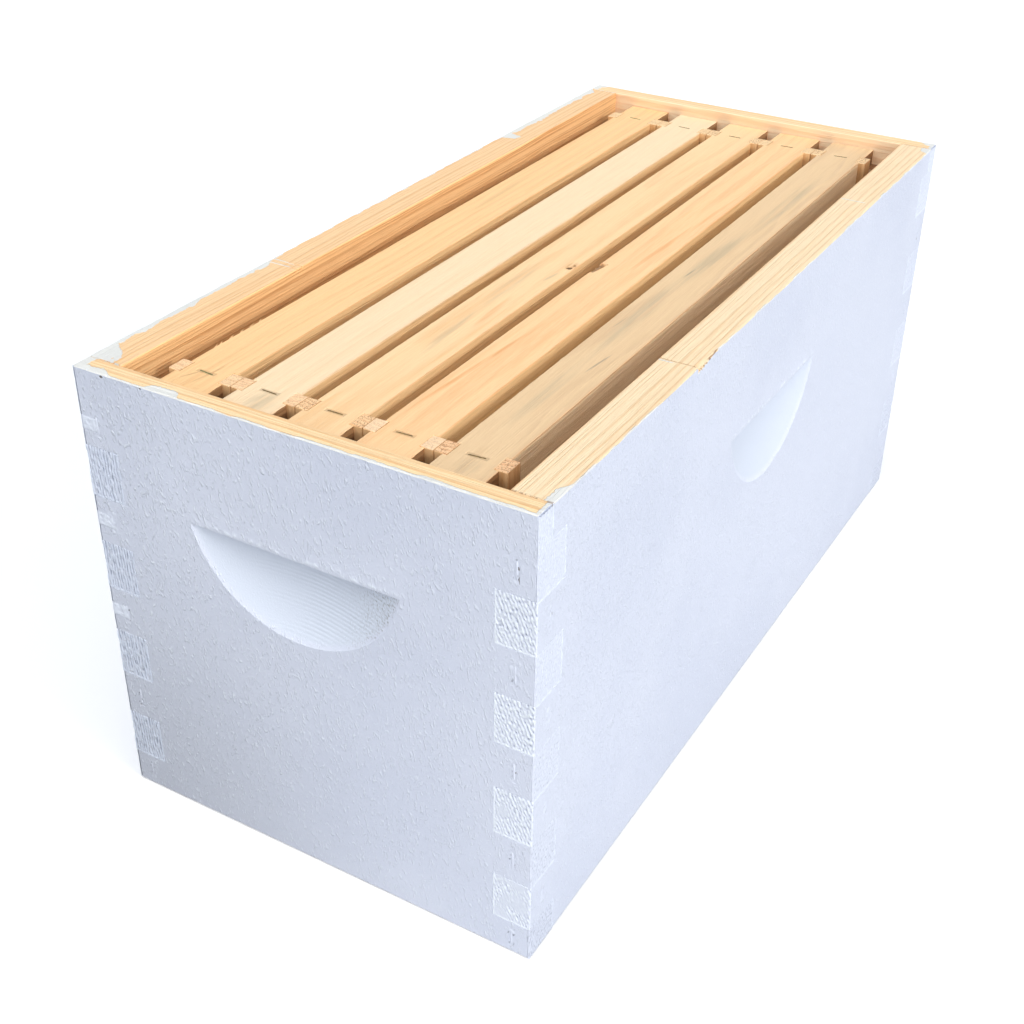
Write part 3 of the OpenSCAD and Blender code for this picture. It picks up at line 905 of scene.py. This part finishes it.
knot_holes = {3: ((11.1, -27.2, 1.9), (12.0, -23.2, 1.0)), 4: ((-9.6, -12.9, 0.7),)}
knot_t, torn_start, torn_stop, torn_w = 1.6, -25.5, -12.5, 2.2


def bar_thick(u, v):
    if abs(v) > main_end:
        return lug_t
    return bar_t - groove_t if abs(u) < groove_w / 2 else bar_t


def bar_dents(i, u, v):
    """Dents of the staples, and where a knot runs through bars 3 and 4, its holes and a torn left edge."""
    depth = crushed(u, v, bar_staples, tall=False)
    if any(math.hypot(u - a, v - b) < 0.9 * r for a, b, r in knot_holes.get(i, ())):
        depth = knot_t
    if i == 4 and torn_start < v < torn_stop and u < torn_w - bar_w / 2:
        depth += knot_t * max(0.0, 0.6 + noise.noise(Vector((u, v * 0.5, 3))))
    return depth


def bar_tone(i, u, v):
    """Painted shade in the dents: black in the knot's holes, brown along the torn edge and by the front
    staples.
    """
    deep = bar_dents(i, u, v)
    if i == 4 and deep and u < torn_w - bar_w / 2:
        return -0.5
    return -1.2 if deep > 0.6 else -0.35 if deep and v < 0 else 0.0


def bar_relief(i, u, v):
    """The eased right edge of a bar, with its dents."""
    off, ease = bar_w / 2 - u, 0
    if off < rounded and abs(v) < main_end - 1:
        ease = rounded - math.sqrt(rounded ** 2 - (rounded - off) ** 2)
    return bar_dents(i, u, v) + ease


def splinter(bar_x, u, v, far):
    """A three-sided sliver that stands off a sawn edge, from its root in the wood to a fine tip."""
    way = math.copysign(1, u)
    root = Vector((bar_x + u - 0.2 * way, v, bar_top - 0.5))
    tip = Vector((bar_x + u + 1.4 * way, v + far, bar_top - 0.1))
    along = (tip - root).normalized()
    off = along.orthogonal().normalized()
    ring = [root + Matrix.Rotation(k * 2 * math.pi / 3, 3, along) @ off * splinter_t for k in range(3)]
    faces = [(0, 1, 3), (1, 2, 3), (2, 0, 3), (2, 1, 0)]
    return [spot * mm for spot in ring + [tip]], faces, ["face"] * 4, [0.0] * 4


bar_looks = [
    dict(light=shade(249, 206, 150), dark=shade(228, 170, 108), pith=(22.0, 0.0, -285.0), ring=3.6,
         contrast=0.3),
    dict(light=shade(248, 220, 180), dark=shade(238, 198, 148), pith=(-14.0, 0.0, -300.0), ring=4.2,
         contrast=0.2, streak=0.12),
    dict(light=shade(250, 212, 162), dark=shade(230, 174, 110), pith=(8.0, 0.0, -262.0), ring=6.4,
         contrast=0.3, tilt=0.6),
    dict(light=shade(250, 208, 156), dark=shade(232, 160, 92), pith=(-36.0, 0.0, -246.0), ring=7.5,
         contrast=0.26, streak=0.1, tilt=1.4),
    dict(light=shade(233, 200, 156), dark=shade(206, 166, 120), pith=(-62.0, 0.0, -290.0), ring=2.6,
         contrast=0.3),
]
# Each stain: its middle across and along the bar, half its width and length, its turn, share and colour.
grey_stain, brown_stain, dark_stain = shade(178, 160, 130), shade(170, 124, 82), shade(136, 122, 108)
knot_stain, amber_stain, resin_stain = shade(196, 138, 84), shade(224, 144, 72), shade(228, 142, 70)
stains = {
    1: [(-4.5, -222, 0.8, 7, -25, 0.8, brown_stain), (2.4, -217.5, 1.0, 16, -9, 0.5, brown_stain),
        (-4, 60, 2.0, 70, 1, 0.25, brown_stain)],
    2: [(3.3, -227, 9, 14, 0, 0.5, grey_stain)],
    3: [(11.0, -24.4, 3.6, 7.5, 0, 0.6, knot_stain), (8.3, -42.5, 1.4, 9, -9, 0.6, grey_stain),
        (-1.5, -123, 3.5, 34, 4, 0.4, grey_stain), (5, -96, 2.5, 28, 3, 0.4, amber_stain),
        (-4, -60, 5, 40, 2, 0.3, grey_stain)],
    4: [(-7, -150, 1.8, 66, -4, 0.6, resin_stain), (6, 40, 2.2, 90, -3, 0.4, resin_stain),
        (-12, -18, 3, 8, 0, 0.5, brown_stain)],
    5: [(-3, -150, 5, 50, 0, 0.35, grey_stain), (-3.5, -62, 6, 62, 1, 0.5, grey_stain),
        (-1.5, 25, 6, 60, -1, 0.55, grey_stain), (2, 120, 6, 70, 0, 0.5, grey_stain),
        (3.5, -117, 0.8, 14, -6, 0.7, dark_stain), (-8, -72, 0.6, 10, -4, 0.6, dark_stain),
        (-4, 0, 0.7, 9, -5, 0.6, dark_stain), (0.7, -226, 7, 10, 0, 0.4, grey_stain)],
}
# Each splinter: where it leaves the bar, across and along, and how far along the bar it points.
splinters = {
    1: ((-13.5, -195.5, 4), (-13.5, -191.4, 3), (-13.5, -184.8, 5), (-13.5, -176.7, 4), (-13.5, -169.9, 5),
        (-13.5, -162.6, 3)),
    3: ((13.3, 13.6, 4),),
}


def top_bar_pine(i, bar_x):
    """The pine of one top bar, with its stains, its darker right edge and the painted shade in its dents."""
    material, tree, shader, place = new_finish("top_bar_%d_pine" % i, 0.55)
    wood = pine_color(tree, place, along_y, **bar_looks[i - 1])
    color = wood["Color"]
    fibres = ramp(tree, mottle(tree, place, (0.45, 0.02, 0.2), 3.0), 0.32, 0.62, 0.15, 1.0)
    for u, v, wide, far, turn, share, dye in stains[i]:
        off = put(tree, "ShaderNodeMapping", place, (bar_x + u, v, bar_top), (0.0, 0.0, math.radians(turn)),
                  (wide, far, 20.0), vector_type="TEXTURE")
        off = put(tree, "ShaderNodeVectorMath", off, operation="LENGTH").node.outputs["Value"]
        soaked = product(tree, fibres, ramp(tree, off, 0.3, 1.0, share, 0.0))
        color = tinted(tree, soaked, color, dye)
    across = sum_of(tree, split(tree, place)[0], -bar_x)
    edge = ramp(tree, across, bar_w / 2 - 1.6, bar_w / 2 - 0.2, 0.0, 0.2)
    color = tinted(tree, edge, color, shade(236, 176, 124))
    # Painted shade: the tone darkens the dents and the knot's holes.
    color = tinted(tree, ramp(tree, mesh_tone(tree), 0.0, -1.0), color, shade(84, 60, 38))
    coat(tree, shader, color, wood["Height"], 0.06, pine_gloss(tree, wood))
    return material


side_figure = dict(grain=along_y, pith=(90.0, 0.0, -40.0), ring=3.0)
bar_side_pine = bare_pine("bar_side_pine", light=shade(242, 201, 146), dark=shade(212, 165, 108),
                          contrast=0.3, **side_figure)
# Bar 5's side takes a much lighter copy of the pine: painted light against the rim's shadow over it.
lit_side_pine = bare_pine("grey_bar_side_pine", light=shade(255, 230, 190), dark=shade(236, 206, 162),
                           contrast=0.4, **side_figure)
# The lugs' sides take a much darker copy of the pine, darkening further downwards: painted shade in the
# pockets between the lugs.
lug_side_pine = bare_pine("lug_side_pine", light=shade(164, 120, 78), dark=shade(122, 86, 52),
                          contrast=0.4, grimy=(bar_top - 9, bar_top - 1, 0.4), **side_figure)


def pick_bar(kind, middle, normal):
    if kind == "face" or abs(normal.y) > 0.5:
        return "top"
    return "lug" if abs(middle.y) > main_end and abs(normal.x) > 0.5 else "side"


for i, bar_x in enumerate(frame_xs, 1):
    groove = [Vector((a * groove_w / 2, b * main_end)) for a, b in four_corners]
    lines = [[Vector((bar_w / 2 - off, v)) for v in (-main_end + 2, main_end - 2)] for off in (0.2, 0.5)]
    steps = [[Vector((a * neck_w / 2, b * main_end)) for a in (-1, 1)] for b in (-1, 1)]
    turns = [(math.cos(k * math.pi / 5), math.sin(k * math.pi / 5)) for k in range(10)]
    holes = [[Vector((a + share * r * c, b + share * r * s)) for c, s in turns]
             for a, b, r in knot_holes.get(i, ()) for share in (1.0, 0.86, 0.5)]
    torn_edge = [Vector((0.5 * j - bar_w / 2, torn_start - 0.5 + 0.8 * k))
                 for j in (1, 2, 3, 4) for k in range(18)] if i == 4 else []
    bar = sawn(mirrored(bar_edge), lambda u, v, w: Vector((bar_x + u, v, bar_top - w)), bar_thick,
               lambda u, v: bar_relief(i, u, v),
               [groove] + slot_loops(bar_staples, tall=False) + holes, lines + steps, torn_edge,
               step=2, ease=0.35, wear=1.2, tone=lambda u, v: bar_tone(i, u, v))
    slivers = [splinter(bar_x, *spot) for spot in splinters.get(i, ())]
    finishes = {"top": top_bar_pine(i, bar_x), "side": lit_side_pine if i == 5 else bar_side_pine,
                "lug": lug_side_pine}
    piece = make_piece("frame_%d_top_bar_pine" % i, [bar, *slivers], finishes, pick_bar)
    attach(piece, "frame_%d" % i)
    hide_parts("frame_%d_top_bar" % i)

# End bars: a pine upright at each end of a frame. Its fork clasps the top bar's neck, its shoulders space
# it from its neighbours, and below them it narrows, with holes for wire and a notch for the bottom bar.
end_low, end_high = (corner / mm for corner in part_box("frame_1_rear_end_bar"))
end_w, end_bar_t, foot_z = end_high.x - end_low.x, end_high.y - end_low.y, end_low.z
low_w, shoulder_drop, taper = 28.6, 85.0, 12.0
foot_w, foot_h = 19.0, 9.5
wire_hole, wire_holes, wire_margin = 3.0, 4, 40.0
shoulder_z = bar_top - shoulder_drop
fork, foot = neck_w / 2 + fit, foot_w / 2 + fit
end_bar_edge = [(foot, foot_z + foot_h), (foot, foot_z), (low_w / 2, foot_z),
                (low_w / 2, shoulder_z - taper), (end_w / 2, shoulder_z), (end_w / 2, bar_top),
                (fork, bar_top), (fork, bar_top - lug_t)]
wire_span = bar_top - foot_z - 2 * wire_margin
wire_zs = [foot_z + wire_margin + k * wire_span / (wire_holes - 1) for k in range(wire_holes)]
hole_loops = [[Vector((math.cos(a), math.sin(a))) * wire_hole / 2 + Vector((0, z))
               for a in [math.pi * k / 8 for k in range(16)]] for z in wire_zs]


def end_bar_thick(u, v):
    return 0 if any(math.hypot(u, v - z) < wire_hole / 2 for z in wire_zs) else end_bar_t


ear_looks = [(shade(251, 214, 168), shade(232, 180, 130)), (shade(252, 214, 168), shade(230, 172, 124)),
             (shade(250, 210, 160), shade(226, 166, 114)), (shade(253, 219, 178), shade(242, 200, 152)),
             (shade(249, 206, 158), shade(218, 154, 104))]


def end_grain_pine(name, light, dark, pith, speckle):
    """Sawn end grain: the rings as arcs, with open pores."""
    material, tree, shader, place = new_finish(name, 0.7)
    wood = pine_color(tree, place, along_z, pith, light, dark, ring=2.4, contrast=0.55, wobble=0.6,
                      streak=0.1)
    pores = ramp(tree, mottle(tree, place, (1.5, 1.5, 0.2), 2.0), 0.52, 0.64)
    color = tinted(tree, product(tree, pores, speckle), wood["Color"], shade(146, 88, 54))
    coat(tree, shader, color, sum_of(tree, wood["Height"], product(tree, pores, -2.0)), 0.04)
    return material


for i, bar_x in enumerate(frame_xs, 1):
    light, dark = ear_looks[i - 1]
    pith = (30.0 * (i % 3 - 1) - bar_x, 0.0, 40.0 + 6 * i)
    finishes = {
        # The long faces darken downwards from the bars' top: painted shade in the pockets.
        "long": bare_pine("end_bar_%d_pine" % i, along_z, pith, shade(240, 196, 142), shade(204, 146, 88),
                          ring=2.8, grimy=(bar_top - 8, bar_top, 0.6)),
    }
    for side, name in ((-1, "front"), (1, "rear")):
        if side > 0:
            light, dark = shade(246, 212, 164), shade(224, 180, 128)
        finishes["end"] = end_grain_pine("end_bar_%d_%s_end_grain" % (i, name), light, dark, pith,
                                         0.3 if i in (1, 2, 4) else 0.75)
        bar = sawn(mirrored(end_bar_edge),
                   lambda u, v, w: Vector((bar_x - side * u, side * (end_bar_out - w), v)), end_bar_thick,
                   lambda u, v: 0.0, hole_loops, step=6, ease=0.35, wear=0.8)
        piece = make_piece("frame_%d_%s_end_bar_pine" % (i, name), [bar], finishes,
                           lambda kind, middle, normal: "end" if abs(normal.z) > 0.6 else "long")
        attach(piece, "frame_%d" % i)
        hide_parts("frame_%d_%s_end_bar" % (i, name))

# Bottom bars: a pine strip let into the notched feet of each frame's end bars and stapled there from below.
# It is sawn from the same bare pine, with a groove along its top for the foundation sheet.
foot_groove, foot_l = 5.0, end_bar_out
bottom_pine = bare_pine("bottom_bar_pine", along_y, (30.0, 0.0, -70.0), shade(246, 206, 150),
                        shade(212, 156, 96), ring=3.0)
for i, bar_x in enumerate(frame_xs, 1):
    edge = [(foot_w / 2, -foot_l), (foot_w / 2, foot_l)]
    channel = [Vector((a * groove_w / 2, b * foot_l)) for a, b in four_corners]
    bar = sawn(mirrored(edge), lambda u, v, w: Vector((bar_x - u, v, foot_z + w)),
               lambda u, v: foot_h - foot_groove if abs(u) < groove_w / 2 else foot_h,
               lambda u, v: crushed(u, v, bar_staples, tall=False),
               [channel] + slot_loops(bar_staples, tall=False), step=5, ease=0.35, wear=0.8)
    piece = make_piece("frame_%d_bottom_bar_pine" % i, [bar], {"pine": bottom_pine}, lambda *face: "pine")
    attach(piece, "frame_%d" % i)
    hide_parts("frame_%d_bottom_bar" % i)

# Foundation sheets: a moulded sheet in each frame's grooves, pressed on both faces with six-sided cell
# bases on which bees draw out comb, and coated with wax.
sheet_low, sheet_high = (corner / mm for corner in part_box("frame_1_foundation"))
sheet_l, sheet_h = sheet_high.y - sheet_low.y, sheet_high.z - sheet_low.z
sheet_t, sheet_mid = sheet_high.x - sheet_low.x, (sheet_low.z + sheet_high.z) / 2
cell_w, cell_deep, cell_inset, border, weld = 5.3, 0.7, 0.05, 6.5, 0.02
row_step = cell_w * math.sqrt(3) / 2
cols, rows = int((sheet_l - border) / cell_w), int((sheet_h - border) / row_step)


def cell_tree():
    """Pressed cells in rows, every other row moved by half a cell, on both faces of a bordered sheet."""
    tree, given, result = new_group(
        "pressed_cells",
        {"Geometry": "Geometry", "Cell": "Float", "Depth": "Float", "Face": "Float", "Columns": "Int",
         "Rows": "Int", "Middle": "Vector", "Finish": "Material"},
        {"Geometry": "Geometry"}, "GeometryNodeTree")
    step = product(tree, given["Cell"], math.sqrt(3) / 2)
    long = product(tree, given["Cell"], less(tree, given["Columns"], 1.0))
    high = product(tree, step, less(tree, given["Rows"], 1.0))
    field = put(tree, "GeometryNodeMeshGrid", long, high, given["Columns"], given["Rows"])
    up = split(tree, put(tree, "GeometryNodeInputPosition"))[1]
    row = put(tree, "ShaderNodeMath", up, step, operation="DIVIDE")
    row = put(tree, "ShaderNodeMath", row, operation="ROUND")
    odd = put(tree, "ShaderNodeMath", row, 1.0, operation="PINGPONG")
    along = product(tree, less(tree, odd, 0.5), product(tree, given["Cell"], 0.5))
    shift = put(tree, "ShaderNodeCombineXYZ", along)
    lattice = put(tree, "GeometryNodeSetPosition", field, None, None, shift)
    reach = put(tree, "ShaderNodeMath", given["Cell"], math.sqrt(3), operation="DIVIDE")
    rim = put(tree, "GeometryNodeMeshCircle", 6, reach, fill_type="NGON")
    turned = put(tree, "GeometryNodeTransform", rim).node
    turned.inputs["Rotation"].default_value = (0.0, 0.0, math.pi / 6)
    pressed = put(tree, "GeometryNodeExtrudeMesh", turned.outputs[0]).node
    tree.links.new(product(tree, given["Depth"], -1.0), pressed.inputs["Offset Scale"])
    base = put(tree, "GeometryNodeScaleElements", pressed.outputs["Mesh"], pressed.outputs["Top"], 0.72)
    cells = tree.nodes.new("GeometryNodeInstanceOnPoints")
    tree.links.new(lattice, cells.inputs["Points"])
    tree.links.new(base, cells.inputs["Instance"])
    real = put(tree, "GeometryNodeRealizeInstances", cells.outputs[0])
    joined = tree.nodes.new("GeometryNodeJoinGeometry")
    for side in (1, -1):
        lift = put(tree, "ShaderNodeCombineXYZ", 0.0, 0.0, given["Face"])
        raised = put(tree, "GeometryNodeTransform", real).node
        tree.links.new(lift, raised.inputs["Translation"])
        upright = put(tree, "GeometryNodeTransform", raised.outputs[0]).node
        upright.inputs["Rotation"].default_value = (math.pi / 2, 0.0, side * math.pi / 2)
        moved = put(tree, "GeometryNodeTransform", upright.outputs[0]).node
        tree.links.new(given["Middle"], moved.inputs["Translation"])
        tree.links.new(moved.outputs[0], joined.inputs[0])
    tree.links.new(given["Geometry"], joined.inputs[0])
    welded = put(tree, "GeometryNodeMergeByDistance", joined.outputs[0])
    welded.node.inputs["Distance"].default_value = weld * mm
    finish = put(tree, "GeometryNodeSetMaterial", welded, None, given["Finish"])
    tree.links.new(finish, result["Geometry"])
    return tree


def waxed(name):
    """Yellow moulded sheet under a thin, uneven coat of wax."""
    material, tree, shader, place = new_finish(name, 0.42)
    film = mottle(tree, place, (0.03, 0.02, 0.02), 4.0)
    grit = mottle(tree, place, (0.9, 0.9, 0.9), 2.0)
    color = tinted(tree, ramp(tree, film, 0.3, 0.7), shade(232, 190, 92), shade(214, 164, 66))
    coat(tree, shader, color, grit, 0.05, ramp(tree, film, 0.35, 0.65, 0.36, 0.55))
    return material


pressed_cells, wax = cell_tree(), waxed("waxed_sheet")
for i, bar_x in enumerate(frame_xs, 1):
    corners = [(sheet_l / 2, sheet_low.z), (sheet_l / 2, sheet_high.z)]
    window = [Vector((a * (sheet_l / 2 - border), sheet_mid + b * (sheet_h / 2 - border)))
              for a, b in four_corners]
    inside = window[2]
    rail = sawn(mirrored(corners), lambda u, v, w: Vector((bar_x + sheet_t / 2 - w, u, v)),
                lambda u, v: 0 if abs(u) < inside.x and window[0].y < v < inside.y else sheet_t,
                lambda u, v: 0.0, [window], step=40, ease=0.15)
    mesh = bpy.data.meshes.new("sheet_border")
    mesh.from_pydata(rail[0], [], rail[1])
    piece = set_by_tree("frame_%d_foundation_waxed" % i, mesh, pressed_cells, {
        "Cell": cell_w * mm, "Depth": cell_deep * mm, "Face": (sheet_t / 2 - cell_inset) * mm,
        "Columns": cols, "Rows": rows, "Middle": Vector((bar_x, 0.0, sheet_mid)) * mm, "Finish": wax})
    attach(piece, "frame_%d" % i)
    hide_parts("frame_%d_foundation" % i)

# Frame staples: thin wire staples driven down through each neck and up through each bottom bar into the
# end bars. The first frame's are of greenish coated wire, the others dull and dark.
frame_crown, frame_leg, frame_wire, frame_proud = 9.7, 25.0, 1.1, 0.05


def staple_wire(name, bright, dull):
    """Bare steel wire, scuffed, with some rust in it."""
    material, tree, shader, place = new_finish(name, 0.4)
    scuff = mottle(tree, place, (1.5, 1.5, 1.5), 3.0)
    color = tinted(tree, ramp(tree, scuff, 0.35, 0.65), bright, dull)
    shader.inputs["Metallic"].default_value = 0.7
    coat(tree, shader, color, scuff, 0.05, ramp(tree, scuff, 0.3, 0.7, 0.3, 0.6))
    return material


dark_wire = staple_wire("dark_staple_wire", shade(132, 110, 68), shade(88, 70, 42))
green_wire = staple_wire("green_staple_wire", shade(132, 130, 84), shade(98, 98, 60))
for i, bar_x in enumerate(frame_xs, 1):
    spots = [((bar_x, v, bar_top + frame_proud), (0.0, 0.0, 0.05 * (i - 3))) for u, v in bar_staples]
    spots += [((bar_x, v, foot_z - frame_proud), (math.pi, 0.0, 0.04 * (i - 2))) for u, v in bar_staples]
    piece = staples("frame_%d_staples_wire" % i, spots, frame_crown, frame_leg, frame_wire,
                    green_wire if i == 1 else dark_wire)
    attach(piece, "frame_%d" % i)
    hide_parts("frame_%d_staples" % i)

# Studio: a pale floor under soft light from above and from a window on the right, two low lamps for the
# left side and the back, which the photograph doesn't show, and the photograph's camera.
floor_half, floor_z = 8.0, -0.0005
fill_h, fill_power, fill_spread = 0.22, 0.28, 30
floor_mesh = bpy.data.meshes.new("floor")
floor_mesh.from_pydata([(x * floor_half, y * floor_half, floor_z) for x, y in four_corners], [],
                       [(0, 1, 2, 3)])
floor = new_object("floor", floor_mesh)
floor_material, tree, shader, place = new_finish("pale_floor", 0.9)
cloud = mottle(tree, place, (0.004, 0.004, 0.004))
rays = put(tree, "ShaderNodeLightPath").node.outputs
pale = tinted(tree, cloud, (0.9, 0.9, 0.9, 1), (0.92, 0.92, 0.92, 1))
dim = ramp(tree, split(tree, place)[0], -150.0, 210.0)
spill = tinted(tree, dim, (0.02, 0.02, 0.022, 1), (0.43, 0.43, 0.45, 1))
seen = tinted(tree, rays["Is Camera Ray"], spill, pale)
tree.links.new(seen, shader.inputs["Base Color"])
glow = product(tree, rays["Is Camera Ray"], 0.12)
tree.links.new(put(tree, "ShaderNodeCombineXYZ", glow, glow, glow), shader.inputs["Emission Color"])
shader.inputs["Emission Strength"].default_value = 1.0
floor_mesh.materials.append(floor_material)

world = bpy.data.worlds.new("studio")
world.use_nodes = True
bpy.context.scene.world = world
tree = world.node_tree
rays = put(tree, "ShaderNodeLightPath").node.outputs
seen = larger(tree, rays["Is Camera Ray"], rays["Is Glossy Ray"])
seen = larger(tree, seen, rays["Is Transmission Ray"])
soft = put(tree, "ShaderNodeBackground", (0.80, 0.94, 1.16, 1.0), 0.32)
white = put(tree, "ShaderNodeBackground", (1.0, 1.0, 1.0, 1.0), 1.0)
background = put(tree, "ShaderNodeMixShader", seen, soft, white)
tree.links.new(background, tree.nodes["World Output"].inputs["Surface"])

for title, energy, angle, travel in (("sky", 2.78, 105, (-0.18, 0.57, -0.80)),
                                     ("window", 1.3, 13, (-0.91, 0.10, -0.39))):
    lamp = bpy.data.lights.new(title, "SUN")
    lamp.energy, lamp.angle, lamp.color = energy, math.radians(angle), (1.0, 0.99, 0.97)
    light = new_object(title, lamp)
    light.rotation_euler = Vector(travel).to_track_quat("-Z", "Y").to_euler()

for title, stand, turn, wide in (("left_fill", (-0.75, 0.0, 0.12), -90, 0.9),
                                 ("back_fill", (0.0, 0.88, 0.12), 180, 0.6)):
    lamp = bpy.data.lights.new(title, "AREA")
    lamp.shape, lamp.size, lamp.size_y, lamp.energy = "RECTANGLE", wide, fill_h, fill_power * wide
    lamp.spread = math.radians(fill_spread)
    light = new_object(title, lamp)
    light.location = stand
    light.rotation_euler = (math.pi / 2, 0.0, math.radians(turn))
    light.visible_camera = False

eye, aim = Vector((340.89, -656.52, 541.36)) * mm, Vector((12.97, -89.35, 122.5)) * mm
roll, focal = 0.73, 51.339
lens = bpy.data.cameras.new("camera")
lens.lens, lens.sensor_width, lens.sensor_fit = focal, 36.0, "HORIZONTAL"
lens.clip_start = 0.01
camera = new_object("camera", lens)
level = (aim - eye).to_track_quat("-Z", "Y").to_matrix()
tilted = level @ Matrix.Rotation(math.radians(roll), 3, "Z")
camera.matrix_world = Matrix.Translation(eye) @ tilted.to_4x4()
bpy.context.scene.camera = camera
bpy.context.scene.view_settings.view_transform = "Standard"
